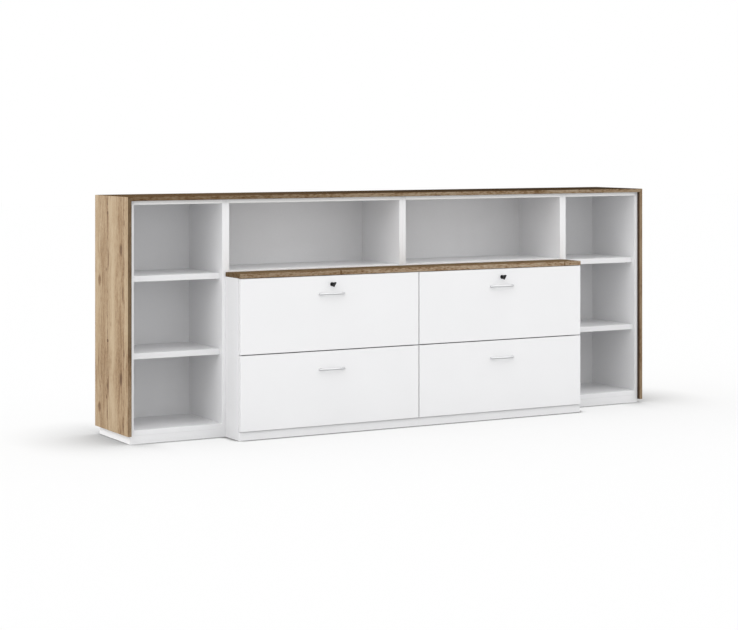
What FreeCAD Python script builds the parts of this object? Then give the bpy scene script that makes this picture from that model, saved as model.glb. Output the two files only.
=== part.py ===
import FreeCAD, Part
import math
import os

# An office storage wall under one wood-look wrap. Two tall open bookcases stand at the ends.
# Between them two drawer cabinets for hanging files stand side by side, further forward than
# the bookcases, with a wood-look cover board on their front strip. Two low open units stand on
# the drawer cabinets, and a mitred wrap of two end panels and a top panel holds it all together.
#
# Millimetres. X runs to the right from the wrap's left outer face, Y to the back from the
# wrap's front plane, Z up from the floor. Each piece is moved to the part's frame as it is
# saved: origin at the bottom centre of the whole, front towards -Y.

# Modules and boards
tall_width = 500.0
middle_width = 1000.0
carcass_height = 1158.0
carcass_depth = 400.0
board = 19.0
back_panel = 6.0
edge_radius = 1.2

# Wood-look wrap: two end panels and a top panel, mitred together at the upper corners
wrap_board = 19.0
wrap_front_overhang = 20.0
wrap_back_overhang = 6.0
left_panel_lift = 40.0
right_panel_lift = 18.0

# Plinths: a frame of four boards under each bookcase and each drawer cabinet
plinth_height = 40.0
plinth_board = 16.0
plinth_back_inset = 8.0
drawer_plinth_setback = 9.0

# Tall bookcases, with two shelves on pins
tall_bottom_board = 25.0
shelf_board = 28.0
shelf_setback = 27.0
shelf_side_gap = 0.5
shelf_back_gap = 0.5
shelf_top_shares = (0.338, 0.6825)
pin_radius = 2.5
pin_in_board = 8.0
pin_stand_out = 8.0
pin_end_inset = 45.0
pin_fit = 0.1

# Low open units on the drawer cabinets
upper_bottom_board = 28.0

# Drawer cabinets and their cover board
drawer_unit_height = 741.0
drawer_unit_projection = 165.0
cover_board = 22.0
front_board = 19.0
front_gap = 5.0
front_edge_gap = 2.5
front_stand_off = 2.0

# Drawer boxes of folded sheet steel, with two rails that carry hanging files
box_sheet = 1.5
box_bottom_rise = 30.0
box_top_drop = 75.5
box_rear_clearance = 50.0
file_rail_spacing = 330.0
file_rail_height = 20.0
file_rail_thickness = 3.0

# Telescopic runners: outer, middle and inner channels, one inside the other
runner_space = 13.0
runner_height = 45.0
runner_sheet = 1.5
runner_play = 0.4
runner_rise = 20.0
runner_end_margin = 5.0

# Bow handles with long oval feet, each held by two screws from behind the drawer front
handle_drop = 88.5
handle_centres = 128.0
handle_reach = 30.0
handle_bar_height = 10.0
handle_bar_depth = 7.0
handle_foot_length = 20.0
handle_foot_height = 12.0
handle_foot_reach = 12.0
handle_foot_rounding = 1.5
handle_screw_radius = 2.0
handle_screw_depth = 7.0
handle_screw_head_radius = 4.5
handle_screw_head_height = 3.0
screw_fit = 0.1

# Cam locks in the upper drawer fronts
lock_drop = 42.0
lock_rim_radius = 10.0
lock_rim_height = 2.0
lock_barrel_radius = 8.0
lock_barrel_behind = 6.0
lock_barrel_fit = 0.1
lock_nut_across = 22.0
lock_nut_height = 4.0
plug_radius = 6.0
plug_fit = 0.05
plug_recess = 0.5
plug_end_play = 0.3
cam_width = 12.0
cam_thickness = 2.0
cam_top_clearance = 1.5
cam_screw_radius = 4.0
cam_screw_height = 2.5
strike_width = 20.0
strike_sheet = 1.5
strike_hang = 12.0
strike_flange = 14.0
strike_cam_gap = 1.0

# Keys, left in the locks and turned part of the way
key_tilt = 30.0
key_blade_width = 8.0
key_blade_thickness = 2.2
key_blade_depth = 18.0
key_blade_fit = 0.1
key_neck = 4.0
key_head_length = 28.0
key_head_base_width = 18.0
key_head_outer_width = 27.0
key_head_thickness = 5.0
key_head_rounding = 3.0

# Levels and lines that several pieces share
total_width = 2 * (wrap_board + tall_width + middle_width)
total_height = carcass_height + wrap_board
carcass_front = wrap_front_overhang
carcass_back = carcass_front + carcass_depth
wrap_back = carcass_back + wrap_back_overhang
back_panel_face = carcass_back - back_panel
plinth_back = carcass_back - plinth_back_inset

tall_x = {"left": wrap_board, "right": total_width - wrap_board - tall_width}
middle_x = {"left": wrap_board + tall_width, "right": wrap_board + tall_width + middle_width}
tall_inner_low = plinth_height + tall_bottom_board
tall_inner_high = carcass_height - board

drawer_unit_top = plinth_height + drawer_unit_height
drawer_face = carcass_front - drawer_unit_projection
front_rear = drawer_face + front_board
drawer_carcass_front = front_rear + front_stand_off
drawer_top_underside = drawer_unit_top - board
front_width = middle_width - 2 * front_edge_gap
front_height = (drawer_unit_height - 2 * front_edge_gap - front_gap) / 2
front_low = {
    "lower": plinth_height + front_edge_gap,
    "upper": plinth_height + front_edge_gap + front_height + front_gap,
}
box_back = back_panel_face - box_rear_clearance
runner_front = drawer_carcass_front + runner_end_margin
runner_back = box_back - runner_end_margin

key_projection = lock_rim_height - plug_recess + key_neck + key_head_length
front_reach = max(key_projection, handle_reach)
frame_shift = FreeCAD.Vector(-total_width / 2, -(drawer_face - front_reach + wrap_back) / 2, 0)

x_axis = FreeCAD.Vector(1, 0, 0)
y_axis = FreeCAD.Vector(0, 1, 0)
z_axis = FreeCAD.Vector(0, 0, 1)


def block(x_low, x_high, y_low, y_high, z_low, z_high):
    """A plain rectangular board between six planes."""
    corner = FreeCAD.Vector(x_low, y_low, z_low)
    return Part.makeBox(x_high - x_low, y_high - y_low, z_high - z_low, corner)


def round_front(shape, directions, radius=edge_radius):
    """Round the edges in the shape's foremost plane that run along the given directions."""
    front = shape.BoundBox.YMin
    chosen = []
    for edge in shape.Edges:
        box = edge.BoundBox
        along = edge.tangentAt(edge.FirstParameter)
        in_front = abs(box.YMin - front) + abs(box.YMax - front) < radius / 2
        wanted = any(abs(along.dot(direction)) > 0.5 for direction in directions)
        if in_front and wanted:
            chosen.append(edge)
    return shape.makeFillet(radius, chosen)


def upright_board(x_low, x_high, y_low, y_high, z_low, z_high):
    """A board whose two long front edges stand upright."""
    return round_front(block(x_low, x_high, y_low, y_high, z_low, z_high), [z_axis])


def level_board(x_low, x_high, y_low, y_high, z_low, z_high):
    """A board whose two long front edges lie level."""
    return round_front(block(x_low, x_high, y_low, y_high, z_low, z_high), [x_axis])


def rod(radius, length, start, direction):
    """A round rod from a point along a direction."""
    return Part.makeCylinder(radius, length, start, direction)


def prism_along_y(outline, y_low, y_high):
    """A solid from a closed outline of (x, z) points, between two planes across Y."""
    points = [FreeCAD.Vector(x, y_low, z) for x, z in outline]
    face = Part.Face(Part.makePolygon(points + points[:1]))
    return face.extrude(FreeCAD.Vector(0, y_high - y_low, 0))


def stadium(x_low, x_high, y_low, y_high, z, half_height):
    """A flat bar with half-round ends, lying along X."""
    left = x_low + half_height
    right = x_high - half_height
    low_left = FreeCAD.Vector(left, y_low, z - half_height)
    low_right = FreeCAD.Vector(right, y_low, z - half_height)
    high_left = FreeCAD.Vector(left, y_low, z + half_height)
    high_right = FreeCAD.Vector(right, y_low, z + half_height)
    outline = Part.Wire([
        Part.makeLine(low_left, low_right),
        Part.Arc(low_right, FreeCAD.Vector(x_high, y_low, z), high_right).toShape(),
        Part.makeLine(high_right, high_left),
        Part.Arc(high_left, FreeCAD.Vector(x_low, y_low, z), low_left).toShape(),
    ])
    return Part.Face(outline).extrude(FreeCAD.Vector(0, y_high - y_low, 0))


def save(node, solids):
    """Move the node's solids to the part's frame and write them to one file."""
    moved = []
    for solid in solids:
        piece = solid.copy()
        piece.translate(frame_shift)
        moved.append(piece)
    shape = moved[0] if len(moved) == 1 else Part.makeCompound(moved)
    shape.exportStep("parts/" + node + ".step")


# Wrap: the end panels and the top panel meet at a mitre, so each is a prism cut at 45 degrees.

def make_wrap():
    inner_left = wrap_board
    inner_right = total_width - wrap_board
    left_outline = [
        (0, left_panel_lift),
        (inner_left, left_panel_lift),
        (inner_left, carcass_height),
        (0, total_height),
    ]
    right_outline = [
        (total_width, right_panel_lift),
        (total_width, total_height),
        (inner_right, carcass_height),
        (inner_right, right_panel_lift),
    ]
    top_outline = [
        (0, total_height),
        (inner_left, carcass_height),
        (inner_right, carcass_height),
        (total_width, total_height),
    ]
    save("wrap_end_panel_left", [round_front(prism_along_y(left_outline, 0, wrap_back), [z_axis])])
    save("wrap_end_panel_right", [round_front(prism_along_y(right_outline, 0, wrap_back), [z_axis])])
    save("wrap_top_panel", [round_front(prism_along_y(top_outline, 0, wrap_back), [x_axis])])


# Plinth: a front board across the whole width, a back board behind it and two boards between.

def plinth_frame(x_low, x_high, y_front, y_back):
    y_inner_front = y_front + plinth_board
    y_inner_back = y_back - plinth_board
    return [
        upright_board(x_low, x_high, y_front, y_inner_front, 0, plinth_height),
        block(x_low, x_high, y_inner_back, y_back, 0, plinth_height),
        block(x_low, x_low + plinth_board, y_inner_front, y_inner_back, 0, plinth_height),
        block(x_high - plinth_board, x_high, y_inner_front, y_inner_back, 0, plinth_height),
    ]


# Tall bookcase: sides on the plinth, a bottom and a top board between them, an inset back
# panel, and two shelves that lie on pins pushed into holes in the sides.

def shelf_levels():
    """The underside of each shelf."""
    inner_height = tall_inner_high - tall_inner_low
    return [tall_inner_low + share * inner_height - shelf_board for share in shelf_top_shares]


def shelf_front_and_back():
    return carcass_front + shelf_setback, back_panel_face - shelf_back_gap


def pin_places():
    """The (y, z) places of the pin centres under the shelves."""
    shelf_front, shelf_back = shelf_front_and_back()
    places = []
    for underside in shelf_levels():
        for y in (shelf_front + pin_end_inset, shelf_back - pin_end_inset):
            places.append((y, underside - pin_radius))
    return places


def drilled_side(x_low, x_high, pin_face, into_board):
    """A side board with a blind hole for each shelf pin."""
    side = upright_board(x_low, x_high, carcass_front, carcass_back, plinth_height, carcass_height)
    for y, z in pin_places():
        mouth = FreeCAD.Vector(pin_face, y, z)
        side = side.cut(rod(pin_radius + pin_fit, pin_in_board + pin_fit, mouth, into_board))
    return side


def make_tall_bookcase(hand):
    x_low = tall_x[hand]
    x_high = x_low + tall_width
    inner_low = x_low + board
    inner_high = x_high - board
    save(f"tall_{hand}_sides", [
        drilled_side(x_low, inner_low, inner_low, -x_axis),
        drilled_side(inner_high, x_high, inner_high, x_axis),
    ])
    save(f"tall_{hand}_top_board", [level_board(
        inner_low, inner_high, carcass_front, carcass_back, tall_inner_high, carcass_height)])
    save(f"tall_{hand}_bottom_board", [level_board(
        inner_low, inner_high, carcass_front, carcass_back, plinth_height, tall_inner_low)])
    save(f"tall_{hand}_back_panel", [block(
        inner_low, inner_high, back_panel_face, carcass_back, tall_inner_low, tall_inner_high)])
    save(f"tall_{hand}_plinth", plinth_frame(x_low, x_high, carcass_front, plinth_back))

    shelf_front, shelf_back = shelf_front_and_back()
    shelf_low = inner_low + shelf_side_gap
    shelf_high = inner_high - shelf_side_gap
    shelves = []
    for underside in shelf_levels():
        shelves.append(level_board(
            shelf_low, shelf_high, shelf_front, shelf_back, underside, underside + shelf_board))
    save(f"tall_{hand}_shelves", shelves)


def make_shelf_pins():
    pins = []
    length = pin_in_board + pin_stand_out
    for x_low in tall_x.values():
        inner_low = x_low + board
        inner_high = x_low + tall_width - board
        for y, z in pin_places():
            pins.append(rod(pin_radius, length, FreeCAD.Vector(inner_low - pin_in_board, y, z), x_axis))
            pins.append(rod(pin_radius, length, FreeCAD.Vector(inner_high + pin_in_board, y, z), -x_axis))
    save("shelf_pins", pins)


# Low open unit: two sides, a thick bottom board, a top board and an inset back panel.

def make_upper_unit(hand):
    x_low = middle_x[hand]
    x_high = x_low + middle_width
    inner_low = x_low + board
    inner_high = x_high - board
    floor_top = drawer_unit_top + upper_bottom_board
    save(f"upper_{hand}_sides", [
        upright_board(x_low, inner_low, carcass_front, carcass_back, drawer_unit_top, carcass_height),
        upright_board(inner_high, x_high, carcass_front, carcass_back, drawer_unit_top, carcass_height),
    ])
    save(f"upper_{hand}_bottom_board", [level_board(
        inner_low, inner_high, carcass_front, carcass_back, drawer_unit_top, floor_top)])
    save(f"upper_{hand}_top_board", [level_board(
        inner_low, inner_high, carcass_front, carcass_back, tall_inner_high, carcass_height)])
    save(f"upper_{hand}_back_panel", [block(
        inner_low, inner_high, back_panel_face, carcass_back, floor_top, tall_inner_high)])


# Drawer cabinet: a carcass behind the drawer fronts, on a plinth set a little back from them.

def make_drawer_cabinet(hand):
    x_low = middle_x[hand]
    x_high = x_low + middle_width
    inner_low = x_low + board
    inner_high = x_high - board
    front = drawer_carcass_front
    floor_top = plinth_height + board
    save(f"cabinet_{hand}_sides", [
        upright_board(x_low, inner_low, front, carcass_back, plinth_height, drawer_unit_top),
        upright_board(inner_high, x_high, front, carcass_back, plinth_height, drawer_unit_top),
    ])
    save(f"cabinet_{hand}_top_board", [level_board(
        inner_low, inner_high, front, carcass_back, drawer_top_underside, drawer_unit_top)])
    save(f"cabinet_{hand}_bottom_board", [level_board(
        inner_low, inner_high, front, carcass_back, plinth_height, floor_top)])
    save(f"cabinet_{hand}_back_panel", [block(
        inner_low, inner_high, back_panel_face, carcass_back, floor_top, drawer_top_underside)])
    plinth_front = drawer_face + drawer_plinth_setback
    save(f"cabinet_{hand}_plinth", plinth_frame(x_low, x_high, plinth_front, plinth_back))


def make_cover_board():
    x_low = middle_x["left"]
    x_high = middle_x["right"] + middle_width
    cover = block(x_low, x_high, drawer_face, carcass_front, drawer_unit_top, drawer_unit_top + cover_board)
    save("drawer_cover_board", [round_front(cover, [x_axis, z_axis])])


# Runners: three channels of one length. The outer one is screwed to the cabinet side, the
# inner one to the drawer box, and the middle one slides between them.

def channel(web, lip, height, z_mid):
    """A C-shaped channel whose web is at one x and whose lips end at another."""
    toward_lip = math.copysign(runner_sheet, lip - web)
    half = height / 2
    outline = [
        (web, z_mid - half),
        (lip, z_mid - half),
        (lip, z_mid - half + runner_sheet),
        (web + toward_lip, z_mid - half + runner_sheet),
        (web + toward_lip, z_mid + half - runner_sheet),
        (lip, z_mid + half - runner_sheet),
        (lip, z_mid + half),
        (web, z_mid + half),
    ]
    return prism_along_y(outline, runner_front, runner_back)


def runner_pair(hand, level, member):
    """The left and right channels of one drawer's outer, middle or inner member."""
    step = runner_sheet + runner_play
    z_mid = front_low[level] + box_bottom_rise + runner_rise + runner_height / 2
    lip_limit = runner_space - step
    web_places = {"outer": 0, "middle": step, "inner": runner_space}
    lip_places = {"outer": lip_limit, "middle": lip_limit, "inner": 2 * step}
    height_steps = {"outer": 0, "middle": 1, "inner": 2}
    height = runner_height - 2 * step * height_steps[member]
    inner_low = middle_x[hand] + board
    inner_high = middle_x[hand] + middle_width - board
    web = web_places[member]
    lip = lip_places[member]
    return [
        channel(inner_low + web, inner_low + lip, height, z_mid),
        channel(inner_high - web, inner_high - lip, height, z_mid),
    ]


# Drawer: a wood-based front, a sheet steel box with file rails, and the inner runners.

def front_centre(hand):
    return middle_x[hand] + middle_width / 2


def handle_height(level):
    return front_low[level] + front_height - handle_drop


def lock_height():
    return front_low["upper"] + front_height - lock_drop


def make_drawer_front(hand, level):
    x_mid = front_centre(hand)
    low = front_low[level]
    half = front_width / 2
    front = block(x_mid - half, x_mid + half, drawer_face, front_rear, low, low + front_height)
    front = round_front(front, [x_axis, z_axis])
    for x in (x_mid - handle_centres / 2, x_mid + handle_centres / 2):
        hole_start = FreeCAD.Vector(x, drawer_face, handle_height(level))
        front = front.cut(rod(handle_screw_radius + screw_fit, front_board, hole_start, y_axis))
    if level == "upper":
        hole_start = FreeCAD.Vector(x_mid, drawer_face, lock_height())
        front = front.cut(rod(lock_barrel_radius + lock_barrel_fit, front_board, hole_start, y_axis))
    save(f"drawer_{hand}_{level}_front", [front])


def make_drawer_box(hand, level):
    outer_low = middle_x[hand] + board + runner_space
    outer_high = middle_x[hand] + middle_width - board - runner_space
    inner_low = outer_low + box_sheet
    inner_high = outer_high - box_sheet
    low = front_low[level] + box_bottom_rise
    high = front_low[level] + front_height - box_top_drop
    floor_top = low + box_sheet
    pieces = [
        block(outer_low, inner_low, front_rear, box_back, low, high),
        block(inner_high, outer_high, front_rear, box_back, low, high),
        block(inner_low, inner_high, box_back - box_sheet, box_back, floor_top, high),
        block(inner_low, inner_high, front_rear, box_back, low, floor_top),
    ]
    y_mid = (front_rear + box_back) / 2
    for y in (y_mid - file_rail_spacing / 2, y_mid + file_rail_spacing / 2):
        y_low = y - file_rail_thickness / 2
        pieces.append(block(
            inner_low, inner_high, y_low, y_low + file_rail_thickness, high - file_rail_height, high))
    save(f"drawer_{hand}_{level}_box", pieces + runner_pair(hand, level, "inner"))


# Handle: an oval bar bent to one arc between two feet, which the screws pull to the front.

def handle_foot(x, z):
    """A foot with half-round ends and a rounded front edge."""
    half_length = handle_foot_length / 2
    foot = stadium(
        x - half_length, x + half_length,
        drawer_face - handle_foot_reach, drawer_face,
        z, handle_foot_height / 2)
    return round_front(foot, [x_axis, z_axis], handle_foot_rounding)


def make_handle(hand, level):
    x_mid = front_centre(hand)
    z = handle_height(level)
    half = handle_centres / 2
    end_y = drawer_face - handle_foot_reach + handle_bar_depth / 2
    mid_y = drawer_face - handle_reach + handle_bar_depth / 2
    left = FreeCAD.Vector(x_mid - half, end_y, z)
    right = FreeCAD.Vector(x_mid + half, end_y, z)
    arc = Part.Arc(left, FreeCAD.Vector(x_mid, mid_y, z), right)
    across = arc.tangent(arc.FirstParameter)[0].cross(z_axis)
    oval = Part.Ellipse(left + z_axis * handle_bar_height / 2, left + across * handle_bar_depth / 2, left)
    section = Part.Wire(oval.toShape())
    handle = Part.Wire(arc.toShape()).makePipeShell([section], True, False)
    screws = []
    for x in (x_mid - half, x_mid + half):
        handle = handle.fuse(handle_foot(x, z))
        hole_depth = handle_screw_depth + screw_fit
        bottom = FreeCAD.Vector(x, drawer_face - hole_depth, z)
        handle = handle.cut(rod(handle_screw_radius + screw_fit, hole_depth, bottom, y_axis))
        tip = FreeCAD.Vector(x, drawer_face - handle_screw_depth, z)
        shank = rod(handle_screw_radius, handle_screw_depth + front_board, tip, y_axis)
        head_start = FreeCAD.Vector(x, front_rear, z)
        screws.append(shank.fuse(rod(
            handle_screw_head_radius, handle_screw_head_height, head_start, y_axis)))
    save(f"drawer_{hand}_{level}_handle", handle.removeSplitter().Solids + screws)


# Lock: a rim and barrel through the front with a nut behind it, a plug that turns in the
# barrel with a cam on its rear end, and a strike plate under the cabinet's top board. The cam
# lies to the left while the key is upright, and stands behind the strike once it has turned
# a quarter of a circle clockwise.

barrel_rear = front_rear + lock_barrel_behind
cam_front = barrel_rear + plug_end_play


def make_lock_housing(hand):
    x = front_centre(hand)
    z = lock_height()
    rim = rod(lock_rim_radius, lock_rim_height, FreeCAD.Vector(x, drawer_face, z), -y_axis)
    rim = round_front(rim, [x_axis, z_axis], lock_rim_height / 3)
    barrel_length = barrel_rear - drawer_face
    barrel = rod(lock_barrel_radius, barrel_length, FreeCAD.Vector(x, drawer_face, z), y_axis)
    bore_start = FreeCAD.Vector(x, drawer_face - lock_rim_height, z)
    bore = rod(plug_radius + plug_fit, lock_rim_height + barrel_length, bore_start, y_axis)
    housing = rim.fuse(barrel).removeSplitter().cut(bore)

    corner_radius = lock_nut_across / math.sqrt(3)
    corners = []
    for corner in range(6):
        angle = math.radians(60 * corner)
        corners.append((x + corner_radius * math.cos(angle), z + corner_radius * math.sin(angle)))
    nut = prism_along_y(corners, front_rear, front_rear + lock_nut_height)
    nut_start = FreeCAD.Vector(x, front_rear, z)
    nut = nut.cut(rod(lock_barrel_radius + lock_barrel_fit, lock_nut_height, nut_start, y_axis))
    save(f"lock_{hand}_housing", [housing, nut])


def turned(shape, x, z):
    """Turn a piece of the lock to the key's angle, clockwise as seen from the front."""
    shape.rotate(FreeCAD.Vector(x, 0, z), y_axis, key_tilt)
    return shape


def make_lock_plug(hand):
    x = front_centre(hand)
    z = lock_height()
    plug_front = drawer_face - lock_rim_height + plug_recess
    plug = rod(plug_radius, cam_front - plug_front, FreeCAD.Vector(x, plug_front, z), y_axis)
    slot_half_width = key_blade_width / 2 + key_blade_fit
    slot_half_thickness = key_blade_thickness / 2 + key_blade_fit
    slot_end = plug_front + key_blade_depth + key_blade_fit
    plug = plug.cut(block(
        x - slot_half_thickness, x + slot_half_thickness,
        plug_front, slot_end,
        z - slot_half_width, z + slot_half_width))

    cam_rear = cam_front + cam_thickness
    reach = drawer_top_underside - strike_sheet - cam_top_clearance - z
    half = cam_width / 2
    cam = stadium(x - reach, x + half, cam_front, cam_rear, z, half)
    screw = rod(cam_screw_radius, cam_screw_height, FreeCAD.Vector(x, cam_rear, z), y_axis)
    pieces = [turned(piece, x, z) for piece in (plug, cam, screw)]
    save(f"lock_{hand}_plug_and_cam", pieces)


def make_key(hand):
    x = front_centre(hand)
    z = lock_height()
    plug_front = drawer_face - lock_rim_height + plug_recess
    head_base = plug_front - key_neck
    head_end = head_base - key_head_length
    blade = block(
        x - key_blade_thickness / 2, x + key_blade_thickness / 2,
        head_base, plug_front + key_blade_depth,
        z - key_blade_width / 2, z + key_blade_width / 2)
    x_low = x - key_head_thickness / 2
    outline = [
        FreeCAD.Vector(x_low, head_base, z - key_head_base_width / 2),
        FreeCAD.Vector(x_low, head_end, z - key_head_outer_width / 2),
        FreeCAD.Vector(x_low, head_end, z + key_head_outer_width / 2),
        FreeCAD.Vector(x_low, head_base, z + key_head_base_width / 2),
    ]
    face = Part.Face(Part.makePolygon(outline + outline[:1]))
    head = face.extrude(FreeCAD.Vector(key_head_thickness, 0, 0))
    head = round_front(head, [x_axis], key_head_rounding)
    save(f"lock_{hand}_key", [turned(head, x, z), turned(blade, x, z)])


def make_lock_strikes():
    """Angle plates under the top boards, one behind each upper drawer front."""
    plates = []
    rear = cam_front - strike_cam_gap
    for hand in middle_x:
        x_low = front_centre(hand) - strike_width / 2
        x_high = x_low + strike_width
        top = drawer_top_underside
        hanging = block(x_low, x_high, rear - strike_sheet, rear, top - strike_hang, top)
        flange = block(x_low, x_high, rear, rear + strike_flange, top - strike_sheet, top)
        plates.append(hanging.fuse(flange).removeSplitter())
    save("lock_strikes", plates)


os.makedirs("parts", exist_ok=True)
make_wrap()
make_shelf_pins()
make_cover_board()
make_lock_strikes()
for hand in ("left", "right"):
    make_tall_bookcase(hand)
    make_upper_unit(hand)
    make_drawer_cabinet(hand)
    outer_runners = []
    for level in ("lower", "upper"):
        outer_runners += runner_pair(hand, level, "outer")
        make_drawer_front(hand, level)
        make_drawer_box(hand, level)
        make_handle(hand, level)
        save(f"drawer_{hand}_{level}_middle_runners", runner_pair(hand, level, "middle"))
    save(f"cabinet_{hand}_outer_runners", outer_runners)
    make_lock_housing(hand)
    make_lock_plug(hand)
    make_key(hand)
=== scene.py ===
import math
from collections import namedtuple
import bpy
import bmesh
from mathutils import Matrix, Vector


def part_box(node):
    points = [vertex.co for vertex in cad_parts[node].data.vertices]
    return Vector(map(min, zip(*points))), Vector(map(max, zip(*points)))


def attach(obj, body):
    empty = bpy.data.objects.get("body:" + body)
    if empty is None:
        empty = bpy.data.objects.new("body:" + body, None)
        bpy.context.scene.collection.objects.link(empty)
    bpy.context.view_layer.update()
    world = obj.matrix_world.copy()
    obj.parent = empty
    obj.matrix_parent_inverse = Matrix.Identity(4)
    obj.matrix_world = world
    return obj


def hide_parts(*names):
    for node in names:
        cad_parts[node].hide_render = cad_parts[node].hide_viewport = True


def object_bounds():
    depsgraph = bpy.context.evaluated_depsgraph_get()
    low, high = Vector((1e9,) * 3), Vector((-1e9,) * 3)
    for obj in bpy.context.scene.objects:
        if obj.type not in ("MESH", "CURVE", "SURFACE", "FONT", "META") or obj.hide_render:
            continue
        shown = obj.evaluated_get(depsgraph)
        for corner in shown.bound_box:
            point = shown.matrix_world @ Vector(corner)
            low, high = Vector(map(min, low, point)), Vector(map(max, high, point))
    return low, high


# The looks of an office storage wall: camera, light and floor, a finish for every surface, and
# finer pieces for the handles, their screws and the keys. Metres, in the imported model's frame.

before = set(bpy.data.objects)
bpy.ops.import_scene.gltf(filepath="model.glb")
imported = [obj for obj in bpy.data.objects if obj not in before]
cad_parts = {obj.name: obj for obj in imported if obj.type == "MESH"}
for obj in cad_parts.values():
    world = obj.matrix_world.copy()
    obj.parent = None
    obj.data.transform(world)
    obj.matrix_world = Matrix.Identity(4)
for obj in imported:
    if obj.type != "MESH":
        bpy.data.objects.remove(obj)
model_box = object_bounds()

# The photograph's frame, and the camera worked out from the edges seen in it
image_width = 738
image_height = 630
horizon_row = 136.4
middle_column = 369.4
focal_pixels = 1921.8
sensor_width = 0.036
millimetres = 1000
camera_left = 4.982
camera_ahead = 8.49875
camera_height = 1.465
camera_turn = math.radians(29.33)

# Light: an even sky, and very broad soft lights from above, from both sides and from the rear
# left. Azimuth 0 shines from the front and a negative one from the left. Azimuth, elevation and
# spread are in degrees.
sky_level = 0.7
backdrop_level = 1.0
soft_lights = {
    "ceiling_light": {"azimuth": 0.0, "elevation": 85.0, "spread": 120.0, "level": 0.4},
    "left_light": {"azimuth": -75.0, "elevation": 25.0, "spread": 120.0, "level": 0.25},
    "rear_left_light": {"azimuth": -115.0, "elevation": 20.0, "spread": 100.0, "level": 0.5},
    "right_light": {"azimuth": 75.0, "elevation": 25.0, "spread": 120.0, "level": 0.2},
}

# Floor: the colour that throws light back, and what the camera sees in its place, a lit colour
# mixed with a share of glow. It has painted shade beside both ends of the cabinet and a painted
# contact shadow at the plinths.
floor_size = 60.0
floor_colour = (0.5, 0.5, 0.5, 1.0)
floor_seen_colour = (0.68, 0.68, 0.68, 1.0)
floor_glow_colour = (0.98, 0.98, 0.98, 1.0)
floor_glow_share = 0.7
floor_side_margin = 0.2
floor_side_reach = 0.5
floor_side_shade = 0.95
floor_contact_reach = 0.05
floor_contact_openness = (0.97, 0.62)
floor_contact_shade = 0.75
black = (0.0, 0.0, 0.0, 1.0)
white = (1.0, 1.0, 1.0, 1.0)

# Modelling: the sides of a round shape, the turns of a rod, the angle in degrees up to which edges
# are smooth, and how squarely a face or an edge lies to an axis to be picked
round_sides = 24
turned_along_x = (0, math.pi / 2, 0)
turned_along_y = (math.pi / 2, 0, 0)
smooth_angle = 40.0
square_share = 0.9
flat_share = 0.99

# Handle: half of it is one tube that leaves the foot and bends into the bow. Each ring of the
# tube has a distance from the middle, a reach in front of the drawer, a turn in degrees from
# straight ahead towards the middle, a half width and a half height.
Ring = namedtuple("Ring", "across reach turn half_width half_height")
handle_rings = [
    Ring(0.0640, 0.0012, 0.0, 0.0100, 0.0060),
    Ring(0.0640, 0.0024, 0.0, 0.0095, 0.0057),
    Ring(0.0638, 0.0050, 4.0, 0.0088, 0.0054),
    Ring(0.0626, 0.0090, 22.0, 0.0070, 0.0052),
    Ring(0.0598, 0.0122, 42.0, 0.0053, 0.0050),
    Ring(0.0550, 0.0148, 57.0, 0.0042, 0.0050),
    Ring(0.0470, 0.0176, 66.0, 0.0036, 0.0050),
    Ring(0.0360, 0.0212, 72.0, 0.0035, 0.0050),
    Ring(0.0240, 0.0242, 78.7, 0.0035, 0.0050),
    Ring(0.0120, 0.0260, 84.4, 0.0035, 0.0050),
    Ring(0.0000, 0.0265, 90.0, 0.0035, 0.0050),
]
# How often the bow is subdivided, and how near its two halves have to be to join
handle_smoothness = 2
handle_seam = 0.0001

# Screws behind the drawer fronts that hold the handles
front_board = 0.019
screw_head_radius = 0.0045
screw_head_height = 0.0030
screw_rounding_share = 0.45
screw_rounding_steps = 3
screw_shank_radius = 0.0020
screw_depth = 0.0070
screw_cross_length = 0.0050
screw_cross_width = 0.0009
screw_cross_depth = 0.0016

# Key: a plastic head with hollowed sides and a ring hole, and a steel blade
key_tilt = 30.0
key_head_length = 0.028
key_head_base = 0.018
key_head_outer = 0.027
key_head_thickness = 0.005
key_corner = 0.0035
key_corner_steps = 5
key_edge = 0.0007
key_edge_steps = 2
key_grip_inset = 0.0016
key_grip_depth = 0.0006
key_ring_radius = 0.0020
key_ring_inset = 0.0055
key_blade_width = 0.008
key_blade_thickness = 0.0022
key_blade_length = 0.022
blade_notch_depths = (0.0012, 0.0020, 0.0008, 0.0016)
blade_notch_span_shares = (0.35, 0.95)
blade_smooth_angle = 30.0

# Every finish has a fine texture. Its pattern is a scale and a detail, its roughness a middle and
# a swing, and its relief a height and a strength. Tones are colours as a screen shows them.
noise_middle = 0.5
# Rays that find out how open the place round a point is
opening_samples = 8

# White boards: their tones, and the painted shade that darkens them in the depth of the bays, where
# little within the reach is open
board_tones = ((240, 240, 241), (245, 245, 246))
# Top boards: painted light, a lighter white against the shade under the wrap top's overhang
top_board_painted_light_tones = ((250, 250, 250), (253, 253, 253))
# Shelves: painted shade, a greyer white for the shade that falls on them in the bays
shelf_painted_shade_tones = ((230, 230, 231), (235, 235, 236))
bay_reach = 0.5
bay_openness = (0.12, 0.62)
bay_shade_tone = (226, 226, 227)
cloud_pattern = (3.0, 2.0)
pearl_pattern = (900.0, 2.0)
pearl_roughness = (0.42, 0.15)
pearl_relief = (0.00008, 0.5)
pearl_gloss = 0.4

# Bare metals: name, tone, middle roughness, and the shares by which their fine lines change along
# x, y and z
metals = {
    "runner_steel": ("zinc_plated_steel", (190, 192, 194), 0.32, (1.0, 0.03, 1.0)),
    "pin_steel": ("nickel_steel", (200, 198, 194), 0.28, (1.0, 1.0, 1.0)),
    "handle_metal": ("satin_handle_metal", (214, 215, 216), 0.34, (0.03, 1.0, 1.0)),
    "lock_steel": ("lock_steel", (84, 84, 86), 0.3, (1.0, 1.0, 1.0)),
}
brush_pattern = (1800.0, 2.0)
brush_dark_share = 0.86
brush_swing = 0.12
brush_relief = (0.00004, 0.4)

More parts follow.
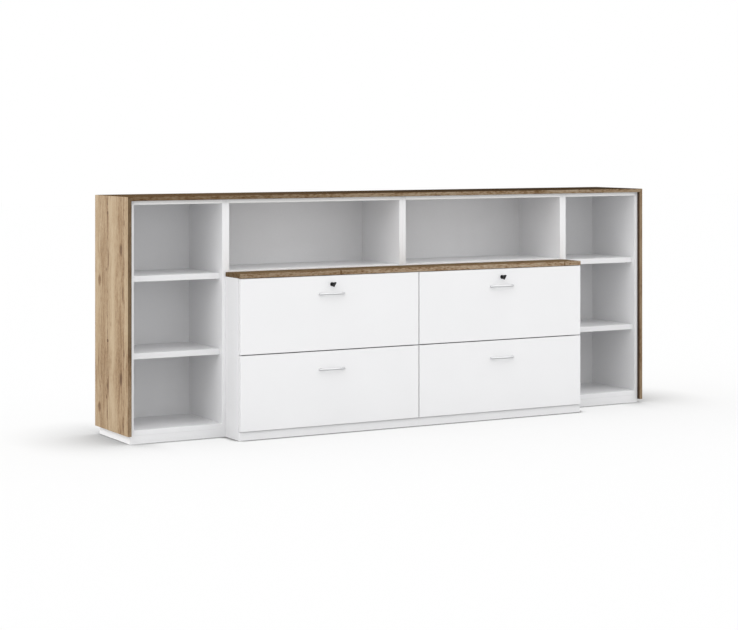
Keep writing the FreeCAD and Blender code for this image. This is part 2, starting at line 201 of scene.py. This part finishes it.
# Powder coat on the drawer boxes
coat_tones = ((196, 198, 200), (206, 208, 210))
coat_pattern = (1300.0, 2.0)
coat_roughness = (0.45, 0.1)
coat_relief = (0.00006, 0.5)

# Black plastics: name, tones and middle roughness
plastics = {
    "lock_black": ("black_lock", ((6, 6, 7), (12, 12, 13)), 0.35),
    "key_black": ("black_key", ((22, 22, 23), (32, 32, 33)), 0.5),
}
plastic_pattern = (2600.0, 2.0)
plastic_swing = 0.2
plastic_relief = (0.00003, 0.5)
plastic_gloss = 0.2

# Oak tones: of the end panels' faces and edges, and from left to right of the level boards
end_face_tone = (165, 141, 110)
end_edge_tones = ((106, 86, 62), (136, 114, 88))
end_edge_low_tone = (141, 119, 93)
# Painted shade on the inner sides of the end panels
inner_side_shade_tone = (66, 46, 28)
# Wrap top face, left and right: a darker stain with painted shade, darkest at the right end
top_face_stain_and_shade_tones = ((85, 67, 48), (58, 45, 32))
top_edge_tones = ((115, 95, 72), (147, 127, 103))
cover_face_tone = (112, 93, 70)
cover_edge_tones = ((139, 118, 94), (161, 140, 116))
# From dark pores to light stripes: place in the figure, and shares of red, green and blue
oak_stop_shares = [
    (0.00, (0.30, 0.20, 0.11)),
    (0.28, (0.66, 0.565, 0.45)),
    (0.50, (1.0, 1.0, 1.0)),
    (0.72, (1.17, 1.25, 1.35)),
    (1.00, (1.28, 1.40, 1.56)),
]

# Oak patterns: the share by which they change along the grain, scale, detail and, for some,
# roughness and distortion. The weights say how strongly they show in the figure.
wisp_pattern = (0.17, 26.0, 4.0, 0.6, 0.7)
line_pattern = (0.11, 62.0, 5.0, 0.7, 0.2)
pore_pattern = (0.17, 260.0, 2.0, 0.8)
fleck_pattern = (0.40, 150.0, 2.0, 0.6)
sway_pattern = (0.25, 9.0, 2.0)
wander_pattern = (0.4, 40.0, 3.0)
break_pattern = (0.5, 22.0, 3.0)
wisp_weight = 0.6
line_weight = 1.0
pore_weight = 0.9
fleck_weight = 1.15
oak_roughness = (0.52, 0.2)
oak_relief = (0.0004, 0.5)
line_relief_share = 0.6
pore_relief_share = 0.4
end_panel_gloss = 0.25
level_board_gloss = 0.0

# The edges' stain ends a little behind the front edge, and is full within a share of that depth.
# A smaller share of it tells the inner side of an end panel, which gets painted shade, from the rest.
edge_depth = 0.0013
edge_fade_share = 0.6
inner_side_share = 0.2
# Heights between which the edges of the end panels get their low tone
low_edge_heights = (0.46, 0.34)
# A level board changes its tones from its left end to this share of its right half
stain_span_share = 0.3

# Level boards: the contrast of their figure, the painted shade along the borders of their edges, and
# the marks of their edges
level_contrast = 1.2
border_width = 0.0025
border_shade_weight = 0.22
# Marks across the cover board's front edge: place along it and half width
cover_marks = [(-0.449, 0.006), (0.897, 0.005)]
cover_mark_weight = 0.5

# End panels: how far the stripes sway and the cracks wander, a darker belt with its height, reach
# and depth of colour, and the length after which the knots repeat
sway_width = 0.03
wander_width = 0.03
end_panel_belt = (0.33, 0.18, 0.10)
figure_repeat = 0.62
# Stripes: distance from the front edge, reach to each side, change of figure
end_panel_stripes = [
    (0.030, 0.040, 0.06),
    (0.095, 0.055, -0.16),
    (0.200, 0.060, 0.20),
    (0.305, 0.070, -0.10),
    (0.400, 0.050, 0.05),
]
# Fine dark cracks: distance from the front edge, half width and depth of colour. They are broken
# where the break pattern is low.
end_panel_cracks = [
    (0.262, 0.0045, 0.60),
    (0.052, 0.0035, 0.40),
    (0.345, 0.0030, 0.30),
]
crack_breaks = (0.30, 0.45)
# Knots and smudges: distance from the front edge, height in the repeat, half width, half length
# and depth of colour
end_panel_marks = [
    (0.258, 0.474, 0.011, 0.010, 1.30),
    (0.258, 0.440, 0.012, 0.060, 0.14),
    (0.088, 0.303, 0.022, 0.040, 0.36),
    (0.368, 0.141, 0.026, 0.035, 0.34),
    (0.250, 0.250, 0.007, 0.070, 0.42),
    (0.218, 0.556, 0.006, 0.016, 0.38),
    (0.048, 0.431, 0.006, 0.024, 0.45),
    (0.274, 0.199, 0.006, 0.014, 0.38),
    (0.062, 0.090, 0.014, 0.060, 0.30),
]
mark_core_share = 0.35


def tone(red, green, blue):
    """A colour as a screen shows it, 0 to 255, turned by the sRGB curve into a linear one."""
    linear = []
    for part in (red, green, blue):
        share = part / 255
        linear.append(share / 12.92 if share <= 0.04045 else ((share + 0.055) / 1.055) ** 2.4)
    return (*linear, 1.0)


class Value:
    """A quantity that varies over a surface. Sums and products of values add Math nodes."""

    def __init__(self, paint, socket):
        self.paint = paint
        self.socket = socket

    def __add__(self, other):
        return self.paint.math("ADD", self, other)

    def __radd__(self, other):
        return self.paint.math("ADD", other, self)

    def __sub__(self, other):
        return self.paint.math("SUBTRACT", self, other)

    def __rsub__(self, other):
        return self.paint.math("SUBTRACT", other, self)

    def __mul__(self, other):
        return self.paint.math("MULTIPLY", self, other)

    def __rmul__(self, other):
        return self.paint.math("MULTIPLY", other, self)

    def __truediv__(self, other):
        return self.paint.math("DIVIDE", self, other)

    def __lt__(self, other):
        return self.paint.math("LESS_THAN", self, other)


class Paint:
    """The nodes of a material or of the sky."""

    def __init__(self, owner):
        owner.use_nodes = True
        self.owner = owner
        self.tree = owner.node_tree
        self.tree.nodes.clear()

    def node(self, kind, settings=None, sockets=None, output=0):
        """Add a node, set it up, fill or link its sockets, and give back one of its outputs."""
        made = self.tree.nodes.new("ShaderNode" + kind)
        for name, setting in (settings or {}).items():
            if name == "stops":
                fill_ramp(made.color_ramp, setting)
            else:
                setattr(made, name, setting)
        for place, value in (sockets or {}).items():
            if isinstance(value, Value):
                self.tree.links.new(value.socket, made.inputs[place])
            else:
                made.inputs[place].default_value = value
        return Value(self, made.outputs[output]) if made.outputs else None

    def place(self):
        """Where a point of the surface lies in the model."""
        return self.node("TexCoord", output="Object")

    def axes(self, point):
        """The x, y and z of a point."""
        return [self.node("SeparateXYZ", None, {0: point}, axis) for axis in range(3)]

    def scaled(self, point, factors):
        """A point whose x, y and z are multiplied by a factor each."""
        return self.node("VectorMath", {"operation": "MULTIPLY"}, {0: point, 1: factors})

    def noise(self, point, scale, detail, roughness=0.5, distortion=0.0):
        """A cloudy value from 0 to 1 that varies round its middle."""
        sockets = {"Vector": point, "Scale": scale, "Detail": detail, "Roughness": roughness,
                   "Distortion": distortion}
        return self.node("TexNoise", None, sockets)

    def swing(self, cloud, weight):
        """How far a cloudy value is from its middle, times a weight."""
        return (cloud - noise_middle) * weight

    def varied(self, cloud, middle, weight):
        """A quantity that a cloudy value moves up and down round another middle."""
        return middle + self.swing(cloud, weight)

    def between(self, value, low, high):
        """0 below low and 1 above high, with a smooth rise between."""
        settings = {"interpolation_type": "SMOOTHSTEP"}
        sockets = {"Value": value, "From Min": low, "From Max": high}
        return self.node("MapRange", settings, sockets)

    def math(self, operation, *numbers):
        """An operation on numbers and values."""
        return self.node("Math", {"operation": operation}, dict(enumerate(numbers)))

    def band(self, value, middle, reach):
        """1 at the middle, falling smoothly to 0 within the reach on both sides."""
        return self.between(self.math("ABSOLUTE", value - middle), reach, 0.0)

    def spot(self, across, along, middle, size):
        """1 in the core of an oval mark, falling smoothly to 0 at its edge."""
        offsets = [(across - middle[0]) / size[0], (along - middle[1]) / size[1]]
        distance = self.math("SQRT", offsets[0] * offsets[0] + offsets[1] * offsets[1])
        return self.between(distance, 1.0, mark_core_share)

    def openness(self, reach):
        """1 on an open surface, less within the reach of something that stands on it."""
        settings = {"samples": opening_samples}
        return self.node("AmbientOcclusion", settings, {"Distance": reach}, 1)

    def folded(self, value, length):
        """The value within one repeat of a pattern."""
        return self.math("FRACT", value / length) * length

    def blend(self, share, first, second):
        """A colour between two colours. Inputs 6 and 7 and output 2 are the node's colours."""
        settings = {"data_type": "RGBA"}
        return self.node("Mix", settings, {0: share, 6: first, 7: second}, 2)

    def ramp(self, value, stops):
        """A colour picked from stops along a value."""
        return self.node("ValToRGB", {"stops": stops}, {0: value})

    def bump(self, height, distance, strength):
        """Relief that can be seen but isn't in the shape."""
        sockets = {"Height": height, "Distance": distance, "Strength": strength}
        return self.node("Bump", None, sockets)

    def surface(self, **sockets):
        """The finished material, from sockets named in words."""
        named = {name.replace("_", " "): value for name, value in sockets.items()}
        shader = self.node("BsdfPrincipled", None, named)
        self.node("OutputMaterial", None, {"Surface": shader})
        return self.owner


def new_material(name):
    """The empty nodes of a new material."""
    return Paint(bpy.data.materials.new(name))


def fill_ramp(ramp, stops):
    """Give a colour ramp its stops, each a place from 0 to 1 and a colour."""
    while len(ramp.elements) < len(stops):
        ramp.elements.new(1.0)
    for element, (place, colour) in zip(ramp.elements, stops):
        element.position = place
        element.color = colour


# Oak: the grain runs upright in the end panels and along the cabinet in the level boards. The
# faces of the end panels are light, and all the edges and tops have a darker stain. The wrap's top
# also has painted shade, as do the end panels' inner sides and the borders of the level boards'
# edges.

def shaded(colour, shares):
    """A linear colour made darker or lighter by a share of its red, green and blue."""
    return (*(min(part * share, 1.0) for part, share in zip(colour, shares)), 1.0)


def oak_colour(paint, figure, middle_tone):
    """The figure in colour, from dark pores to light stripes around a middle tone."""
    middle = tone(*middle_tone)
    return paint.ramp(figure, [(place, shaded(middle, shares)) for place, shares in oak_stop_shares])


def oak_change(paint, share, figure, tones):
    """The figure in two colours, from the first to the second by a share."""
    first, second = (oak_colour(paint, figure, middle_tone) for middle_tone in tones)
    return paint.blend(share, first, second)


def along_grain(paint, point, grain_axis, pattern):
    """A cloudy value drawn out along the grain, where it changes by a share only."""
    share, *noise_settings = pattern
    factors = tuple(share if axis == grain_axis else 1.0 for axis in range(3))
    return paint.noise(paint.scaled(point, factors), *noise_settings)


def oak_figure(paint, point, grain_axis):
    """The light and dark of wisps, growth lines and pores, and the lines and pores alone."""
    wisps = along_grain(paint, point, grain_axis, wisp_pattern)
    lines = along_grain(paint, point, grain_axis, line_pattern)
    pores = along_grain(paint, point, grain_axis, pore_pattern)
    figure = paint.varied(wisps, noise_middle, wisp_weight)
    figure = figure + paint.swing(lines, line_weight) + paint.swing(pores, pore_weight)
    return figure, lines, pores


def oak_surface(paint, colour, lines, pores, gloss):
    """The finished oak, whose lines and pores can be felt."""
    return paint.surface(
        Base_Color=colour,
        Roughness=paint.varied(pores, *oak_roughness),
        Specular_IOR_Level=gloss,
        Normal=paint.bump(lines * line_relief_share + pores * pore_relief_share, *oak_relief),
    )


def end_panel_figure(paint, point, figure, depth):
    """Add stripes, cracks, knots, smudges and the belt to the figure of an end panel."""
    sway = paint.swing(along_grain(paint, point, 2, sway_pattern), sway_width)
    across = depth + sway
    for place, reach, change in end_panel_stripes:
        figure = figure + paint.band(across, place, reach) * change
    wander = paint.swing(along_grain(paint, point, 2, wander_pattern), wander_width)
    broken = paint.between(along_grain(paint, point, 2, break_pattern), *crack_breaks)
    for place, half_width, change in end_panel_cracks:
        crack = paint.band(depth + wander, place, half_width)
        figure = figure - crack * broken * change
    height = paint.axes(point)[2]
    along = paint.folded(height, figure_repeat)
    for place, mark_height, width, length, change in end_panel_marks:
        mark = paint.spot(depth, along, (place, mark_height), (width, length))
        figure = figure - mark * change
    belt_height, belt_reach, belt_change = end_panel_belt
    return figure - paint.band(height, belt_height, belt_reach) * belt_change


def end_panel_oak():
    """Light oak with upright stripes, knots and smudges, stained edges, and painted shade on its
    inner side.
    """
    paint = new_material("light_oak")
    point = paint.place()
    x, y, z = paint.axes(point)
    low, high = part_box("wrap_end_panel_left")
    figure, lines, pores = oak_figure(paint, point, 2)
    figure = end_panel_figure(paint, point, figure, y - low.y)

    face = oak_colour(paint, figure, end_face_tone)
    edge = oak_change(paint, paint.between(x, low.x, -low.x), figure, end_edge_tones)
    low_edge = oak_colour(paint, figure, end_edge_low_tone)
    edge = paint.blend(paint.between(z, *low_edge_heights), edge, low_edge)
    front = paint.between(y, low.y + edge_depth, low.y + edge_depth * edge_fade_share)
    # Painted shade: the inner side gets a dark tone
    hidden = oak_colour(paint, figure, inner_side_shade_tone)
    inner = paint.math("ABSOLUTE", x) < -high.x + edge_depth * inner_side_share
    colour = paint.blend(inner, paint.blend(front, face, edge), hidden)
    return oak_surface(paint, colour, lines, pores, end_panel_gloss)


def level_oak(name, node, face_tones, edge_tones, marks):
    """Stained oak with its grain along the cabinet, lighter towards the right on its edge, with
    painted shade along its borders.
    """
    paint = new_material(name)
    point = paint.place()
    x, y, z = paint.axes(point)
    low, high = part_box(node)
    figure, lines, pores = oak_figure(paint, point, 0)
    figure = paint.varied(figure, noise_middle, level_contrast)
    right = paint.between(x, low.x, high.x * stain_span_share)
    # The wrap top's face tones carry painted shade
    face = oak_change(paint, right, figure, face_tones)

    flecks = along_grain(paint, point, 0, fleck_pattern)
    # Painted shade along the upper and lower borders of the front edge
    border = paint.band(z, low.z, border_width) + paint.band(z, high.z, border_width)
    edge_figure = figure + paint.swing(flecks, fleck_weight) - border * border_shade_weight
    for place, half_width in marks:
        edge_figure = edge_figure - paint.band(x, place, half_width) * cover_mark_weight
    edge = oak_change(paint, right, edge_figure, edge_tones)
    front = paint.between(y, low.y + edge_depth, low.y + edge_depth * edge_fade_share)
    return oak_surface(paint, paint.blend(front, face, edge), lines, pores, level_board_gloss)


def white_board(name, tones):
    """White melamine with a fine pearl texture, and painted shade in the depth of the bays."""
    paint = new_material(name)
    point = paint.place()
    pearl = paint.noise(point, *pearl_pattern)
    cloud = paint.noise(point, *cloud_pattern)
    plain = paint.blend(cloud, tone(*tones[0]), tone(*tones[1]))
    # Painted shade: the colour turns to the bay tone where little within the reach is open
    outside = paint.between(paint.openness(bay_reach), *bay_openness)
    return paint.surface(
        Base_Color=paint.blend(outside, tone(*bay_shade_tone), plain),
        Roughness=paint.varied(pearl, *pearl_roughness),
        Specular_IOR_Level=pearl_gloss,
        Normal=paint.bump(pearl, *pearl_relief),
    )


def bare_metal(name, metal_tone, roughness, stretch):
    """Bare metal with fine lines drawn out along one axis."""
    paint = new_material(name)
    lines = paint.noise(paint.scaled(paint.place(), stretch), *brush_pattern)
    light = tone(*metal_tone)
    dark = shaded(light, (brush_dark_share, brush_dark_share, brush_dark_share))
    return paint.surface(
        Base_Color=paint.blend(lines, dark, light),
        Metallic=1.0,
        Roughness=paint.varied(lines, roughness, brush_swing),
        Normal=paint.bump(lines, *brush_relief),
    )


def coated_steel():
    """Light grey powder coat on the drawer boxes."""
    paint = new_material("grey_powder_coat")
    peel = paint.noise(paint.place(), *coat_pattern)
    return paint.surface(
        Base_Color=paint.blend(peel, tone(*coat_tones[0]), tone(*coat_tones[1])),
        Roughness=paint.varied(peel, *coat_roughness),
        Normal=paint.bump(peel, *coat_relief),
    )


def black_plastic(name, tones, roughness):
    """Moulded plastic with a fine grain."""
    paint = new_material(name)
    grain = paint.noise(paint.place(), *plastic_pattern)
    return paint.surface(
        Base_Color=paint.blend(grain, tone(*tones[0]), tone(*tones[1])),
        Roughness=paint.varied(grain, roughness, plastic_swing),
        Specular_IOR_Level=plastic_gloss,
        Normal=paint.bump(grain, *plastic_relief),
    )


def make_finishes():
    """The finish of every material slot but oak, which differs from board to board."""
    made = {
        "white_board": white_board("white_melamine", board_tones),
        "box_steel": coated_steel(),
    }
    for slot, settings in metals.items():
        made[slot] = bare_metal(*settings)
    for slot, settings in plastics.items():
        made[slot] = black_plastic(*settings)
    return made


def paint_nodes():
    """Give every node of the model the finish of its material slot."""
    whites = {
        # The top boards get painted light
        "top_board": white_board("white_top_painted_light_melamine", top_board_painted_light_tones),
        # The shelves get painted shade
        "shelves": white_board("white_shelf_painted_shade_melamine", shelf_painted_shade_tones),
    }
    end_oak = end_panel_oak()
    cover_face_tones = (cover_face_tone, cover_face_tone)
    oaks = {
        "wrap_end_panel_left": end_oak,
        "wrap_end_panel_right": end_oak,
        "wrap_top_panel": level_oak("top_oak", "wrap_top_panel", top_face_stain_and_shade_tones, top_edge_tones, []),
        "drawer_cover_board": level_oak(
            "cover_oak", "drawer_cover_board", cover_face_tones, cover_edge_tones, cover_marks),
    }
    for name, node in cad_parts.items():
        for place, material in enumerate(node.data.materials):
            slot = material.name.split(".")[0]
            finish = oaks[name] if slot == "oak" else finishes[slot]
            if slot == "white_board":
                for ending, own_white in whites.items():
                    finish = own_white if name.endswith(ending) else finish
            node.data.materials[place] = finish


# Modelling of the finer pieces

def settle_primitive():
    """Put the new primitive's place, turn and scale into its mesh."""
    bpy.ops.object.transform_apply(location=True, rotation=True, scale=True)
    return bpy.context.active_object


def add_block(middle, size):
    """A plain block to start from or to cut with."""
    bpy.ops.object.select_all(action="DESELECT")
    bpy.ops.mesh.primitive_cube_add(size=1, location=middle, scale=size)
    return settle_primitive()


def add_rod(middle, radius, length, turn):
    """A plain rod to start from or to cut with."""
    bpy.ops.object.select_all(action="DESELECT")
    bpy.ops.mesh.primitive_cylinder_add(
        vertices=round_sides, radius=radius, depth=length, location=middle, rotation=turn)
    return settle_primitive()


def start_editing(piece, name):
    """Name a new primitive and open it for modelling, faces first."""
    piece.name = name
    bpy.ops.object.mode_set(mode="EDIT")
    bpy.ops.mesh.select_mode(type="FACE")
    return piece


def pick_faces(piece, wanted):
    """Select the faces whose normal passes a test, and nothing else."""
    bpy.ops.mesh.select_all(action="DESELECT")
    mesh = bmesh.from_edit_mesh(piece.data)
    for face in mesh.faces:
        face.select_set(wanted(face.normal))
    bmesh.update_edit_mesh(piece.data)


def pick_edges(piece, wanted):
    """Select the edges whose middle and direction pass a test, and nothing else."""
    bpy.ops.mesh.select_mode(type="EDGE")
    bpy.ops.mesh.select_all(action="DESELECT")
    mesh = bmesh.from_edit_mesh(piece.data)
    for edge in mesh.edges:
        ends = [vertex.co for vertex in edge.verts]
        edge.select_set(wanted((ends[0] + ends[1]) / 2, (ends[1] - ends[0]).normalized()))
    bmesh.update_edit_mesh(piece.data)


def selected_middle(piece):
    """The middle of all selected vertices."""
    mesh = bmesh.from_edit_mesh(piece.data)
    places = [vertex.co for vertex in mesh.verts if vertex.select]
    return sum(places, Vector()) / len(places)


def finish_editing(piece, angle=smooth_angle):
    """Close the modelling: outward faces, smooth shading and the place put into the mesh."""
    bpy.ops.mesh.select_all(action="SELECT")
    bpy.ops.mesh.normals_make_consistent(inside=False)
    bpy.ops.object.mode_set(mode="OBJECT")
    bpy.ops.object.transform_apply(location=True, rotation=True, scale=True)
    if angle:
        bpy.ops.object.shade_smooth_by_angle(angle=math.radians(angle))
    return piece


def use_modifier(piece, kind, **settings):
    """Add a modifier with its settings and apply it."""
    modifier = piece.modifiers.new(kind.lower(), kind)
    for name, setting in settings.items():
        setattr(modifier, name, setting)
    bpy.context.view_layer.objects.active = piece
    bpy.ops.object.modifier_apply(modifier=modifier.name)


def cut_away(piece, cutter):
    """Take a shape out of a piece."""
    use_modifier(piece, "BOOLEAN", operation="DIFFERENCE", object=cutter, solver="FAST")
    bpy.data.objects.remove(cutter)


def joined(pieces, name):
    """Several pieces made into one."""
    bpy.ops.object.select_all(action="DESELECT")
    for piece in pieces:
        piece.select_set(True)
    bpy.context.view_layer.objects.active = pieces[0]
    bpy.ops.object.join()
    pieces[0].name = name
    return pieces[0]


def placed_copy(piece, name, place, turn=0.0):
    """A copy with its own mesh, turned about the Y axis and moved to its place."""
    copy = piece.copy()
    copy.data = piece.data.copy()
    copy.name = name
    bpy.context.scene.collection.objects.link(copy)
    copy.data.transform(Matrix.Translation(place) @ Matrix.Rotation(turn, 4, "Y"))
    return copy


def give_finish(piece, finish):
    """Cover a piece with one finish."""
    piece.data.materials.clear()
    piece.data.materials.append(finish)


def ring_to(piece, before, after):
    """Turn and stretch the selected ring of a tube from one ring's line to the next one's."""
    middle = selected_middle(piece)
    back = math.radians(before.turn)
    bpy.ops.transform.rotate(value=back, orient_axis="Z", center_override=middle)
    stretch = (after.half_width / before.half_width, 1.0, after.half_height / before.half_height)
    bpy.ops.transform.resize(value=stretch, center_override=middle)
    onward = -math.radians(after.turn)
    bpy.ops.transform.rotate(value=onward, orient_axis="Z", center_override=middle)


def model_screw():
    """A pan-head screw with a cross recess. Its shank runs through the front into the foot."""
    middle = (0, front_board + screw_head_height / 2, 0)
    head = add_rod(middle, screw_head_radius, screw_head_height, turned_along_y)
    screw = start_editing(head, "screw")
    pick_faces(screw, lambda normal: normal.y > square_share)
    bpy.ops.mesh.bevel(offset=screw_head_height * screw_rounding_share, segments=screw_rounding_steps)
    pick_faces(screw, lambda normal: normal.y < -square_share)
    bpy.ops.mesh.inset(thickness=screw_head_radius - screw_shank_radius)
    bpy.ops.mesh.extrude_region_move()
    bpy.ops.transform.translate(value=(0, -front_board - screw_depth, 0))
    finish_editing(screw)
    rear = front_board + screw_head_height
    bars = [(screw_cross_length, screw_cross_width), (screw_cross_width, screw_cross_length)]
    for length, width in bars:
        cut_away(screw, add_block((0, rear, 0), (length, screw_cross_depth * 2, width)))
    return screw


def model_handle():
    """The bow handle round the middle of its own place on the drawer's face, with its screws."""
    first = handle_rings[0]
    foot = (-first.across, 0, 0)
    bpy.ops.object.select_all(action="DESELECT")
    bpy.ops.mesh.primitive_circle_add(
        vertices=round_sides, radius=first.half_width, fill_type="NGON",
        location=foot, rotation=turned_along_y)
    bow = start_editing(settle_primitive(), "bow")
    bpy.ops.mesh.select_all(action="SELECT")
    flatter = (1, 1, first.half_height / first.half_width)
    bpy.ops.transform.resize(value=flatter, center_override=foot)
    before = first._replace(reach=0.0)
    for ring in handle_rings:
        bpy.ops.mesh.extrude_region_move()
        step = (before.across - ring.across, before.reach - ring.reach, 0)
        bpy.ops.transform.translate(value=step)
        ring_to(bow, before, ring)
        before = ring
    bpy.ops.mesh.delete(type="FACE")
    finish_editing(bow, None)
    use_modifier(bow, "MIRROR", use_mirror_merge=True, merge_threshold=handle_seam)
    use_modifier(bow, "SUBSURF", levels=handle_smoothness, render_levels=handle_smoothness)
    bpy.ops.object.shade_smooth()
    screw = model_screw()
    screws = [placed_copy(screw, "screw_copy", (x, 0, 0)) for x in (-first.across, first.across)]
    bpy.data.objects.remove(screw)
    return joined([bow] + screws, "handle")


def model_key_head():
    """The head of the key, upright, its base at the origin and its outer end towards -Y."""
    size = (key_head_thickness, key_head_length, key_head_base)
    head = start_editing(add_block((0, -key_head_length / 2, 0), size), "key_head")
    pick_faces(head, lambda normal: normal.y < -square_share)
    bpy.ops.transform.resize(value=(1, 1, key_head_outer / key_head_base))
    pick_edges(head, lambda middle, direction: abs(direction.x) > square_share)
    bpy.ops.mesh.bevel(offset=key_corner, segments=key_corner_steps)
    bpy.ops.mesh.select_mode(type="FACE")
    pick_faces(head, lambda normal: abs(normal.x) > square_share)
    bpy.ops.mesh.bevel(offset=key_edge, segments=key_edge_steps)
    for side in (-1, 1):
        pick_faces(head, lambda normal: normal.x * side > flat_share)
        bpy.ops.mesh.inset(thickness=key_grip_inset)
        bpy.ops.mesh.inset(thickness=key_grip_depth, depth=-key_grip_depth)
    finish_editing(head)
    ring_place = (0, key_ring_inset - key_head_length, 0)
    cut_away(head, add_rod(ring_place, key_ring_radius, key_head_thickness * 2, turned_along_x))
    return head


def model_key_blade():
    """The blade of the key, with notches of several depths along its lower edge."""
    size = (key_blade_thickness, key_blade_length, key_blade_width)
    blade = start_editing(add_block((0, key_blade_length / 2, 0), size), "key_blade")
    first, last = (key_blade_length * share for share in blade_notch_span_shares)
    cuts = len(blade_notch_depths) * 2
    step = (last - first) / cuts
    for cut in range(cuts + 1):
        bpy.ops.mesh.select_all(action="SELECT")
        bpy.ops.mesh.bisect(plane_co=(0, first + step * cut, 0), plane_no=(0, 1, 0))
    for notch, depth in enumerate(blade_notch_depths):
        place = first + step * (notch * 2 + 1)
        pick_edges(blade, lambda middle, direction: abs(direction.x) > square_share
                   and middle.z < 0 and abs(middle.y - place) < step / 2)
        bpy.ops.transform.translate(value=(0, 0, depth))
    bpy.ops.mesh.select_mode(type="FACE")
    return finish_editing(blade, blade_smooth_angle)


def make_handles():
    """A handle with its screws on the front of every drawer, in the place of the plain one."""
    pattern = model_handle()
    for hand in ("left", "right"):
        for level in ("lower", "upper"):
            low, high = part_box(f"drawer_{hand}_{level}_handle")
            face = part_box(f"drawer_{hand}_{level}_front")[0].y
            middle = ((low.x + high.x) / 2, face, (low.z + high.z) / 2)
            handle = placed_copy(pattern, f"handle_{hand}_{level}", middle)
            give_finish(handle, finishes["handle_metal"])
            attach(handle, f"drawer_{hand}_{level}")
            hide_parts(f"drawer_{hand}_{level}_handle")
    bpy.data.objects.remove(pattern)


def make_keys():
    """A key in both locks, in the place of the plain one, tilted as it stands at rest."""
    parts = [
        ("head", model_key_head(), "key_black"),
        ("blade", model_key_blade(), "lock_steel"),
    ]
    for hand in ("left", "right"):
        low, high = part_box(f"lock_{hand}_housing")
        key_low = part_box(f"lock_{hand}_key")[0]
        middle = ((low.x + high.x) / 2, key_low.y + key_head_length, (low.z + high.z) / 2)
        for part, pattern, slot in parts:
            piece = placed_copy(pattern, f"key_{part}_{hand}", middle, math.radians(key_tilt))
            give_finish(piece, finishes[slot])
            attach(piece, f"key_{hand}")
            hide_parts(f"lock_{hand}_key")
    for _, pattern, _ in parts:
        bpy.data.objects.remove(pattern)


# Camera, light and floor

def make_camera():
    """The camera of the photograph, level, and shifted instead of tilted."""
    camera = bpy.data.objects.new("camera", bpy.data.cameras.new("camera"))
    bpy.context.scene.collection.objects.link(camera)
    wrap_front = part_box("wrap_top_panel")[0].y
    camera.location = (-camera_left, wrap_front - camera_ahead, camera_height)
    camera.rotation_euler = (math.pi / 2, 0, -camera_turn)
    camera.data.sensor_width = sensor_width * millimetres
    camera.data.lens = focal_pixels / image_width * sensor_width * millimetres
    camera.data.shift_x = (image_width / 2 - middle_column) / image_width
    camera.data.shift_y = (horizon_row - image_height / 2) / image_width
    bpy.context.scene.camera = camera


def make_lights():
    """The soft lights, all of them far away."""
    for name, light in soft_lights.items():
        data = bpy.data.lights.new(name, "SUN")
        data.energy = light["level"] * math.pi
        data.angle = math.radians(light["spread"])
        holder = bpy.data.objects.new(name, data)
        bpy.context.scene.collection.objects.link(holder)
        turn = math.radians(light["azimuth"])
        rise = math.radians(light["elevation"])
        level_part = math.cos(rise)
        source = Vector((math.sin(turn) * level_part, -math.cos(turn) * level_part, math.sin(rise)))
        holder.rotation_euler = source.to_track_quat("Z", "Y").to_euler()


def make_sky():
    """An even sky that lights the cabinet, and that the camera, metal and glass see as white."""
    paint = Paint(bpy.data.worlds.new("sky"))
    seen = paint.node("LightPath", output="Is Camera Ray")
    for ray in ("Is Glossy Ray", "Is Transmission Ray"):
        seen = paint.math("MAXIMUM", seen, paint.node("LightPath", output=ray))
    levels = {"Value": seen, "To Min": sky_level, "To Max": backdrop_level}
    strength = paint.node("MapRange", None, levels)
    background = paint.node("Background", None, {"Color": white, "Strength": strength})
    paint.node("OutputWorld", None, {"Surface": background})
    bpy.context.scene.world = paint.owner


def make_floor():
    """A plain floor. The camera sees it lighter than it is, with painted shade close to the cabinet.
    """
    bpy.ops.mesh.primitive_plane_add(size=floor_size)
    floor = bpy.context.active_object
    floor.name = "floor"
    paint = new_material("floor")
    x = paint.axes(paint.place())[0]
    end = model_box[1].x
    # Painted shade beside the ends and a painted contact shadow at the plinths
    beside = paint.between(paint.math("ABSOLUTE", x), end - floor_side_margin, end)
    shade = (1 - paint.openness(floor_side_reach)) * beside * floor_side_shade
    contact = paint.between(paint.openness(floor_contact_reach), *floor_contact_openness)
    shade = shade + contact * (1 - beside) * floor_contact_shade
    lit_colour = paint.blend(shade, floor_seen_colour, black)
    lit = paint.node("BsdfDiffuse", None, {"Color": lit_colour})
    glow_colour = paint.blend(shade, floor_glow_colour, black)
    glow = paint.node("Emission", None, {"Color": glow_colour})
    seen = paint.node("MixShader", None, {0: floor_glow_share, 1: lit, 2: glow})
    plain = paint.node("BsdfDiffuse", None, {"Color": floor_colour})
    camera_ray = paint.node("LightPath", output="Is Camera Ray")
    mixed = paint.node("MixShader", None, {0: camera_ray, 1: plain, 2: seen})
    paint.node("OutputMaterial", None, {"Surface": mixed})
    floor.data.materials.append(paint.owner)


bpy.context.scene.view_settings.view_transform = "Standard"
make_camera()
make_lights()
make_sky()
make_floor()
finishes = make_finishes()
paint_nodes()
make_handles()
make_keys()
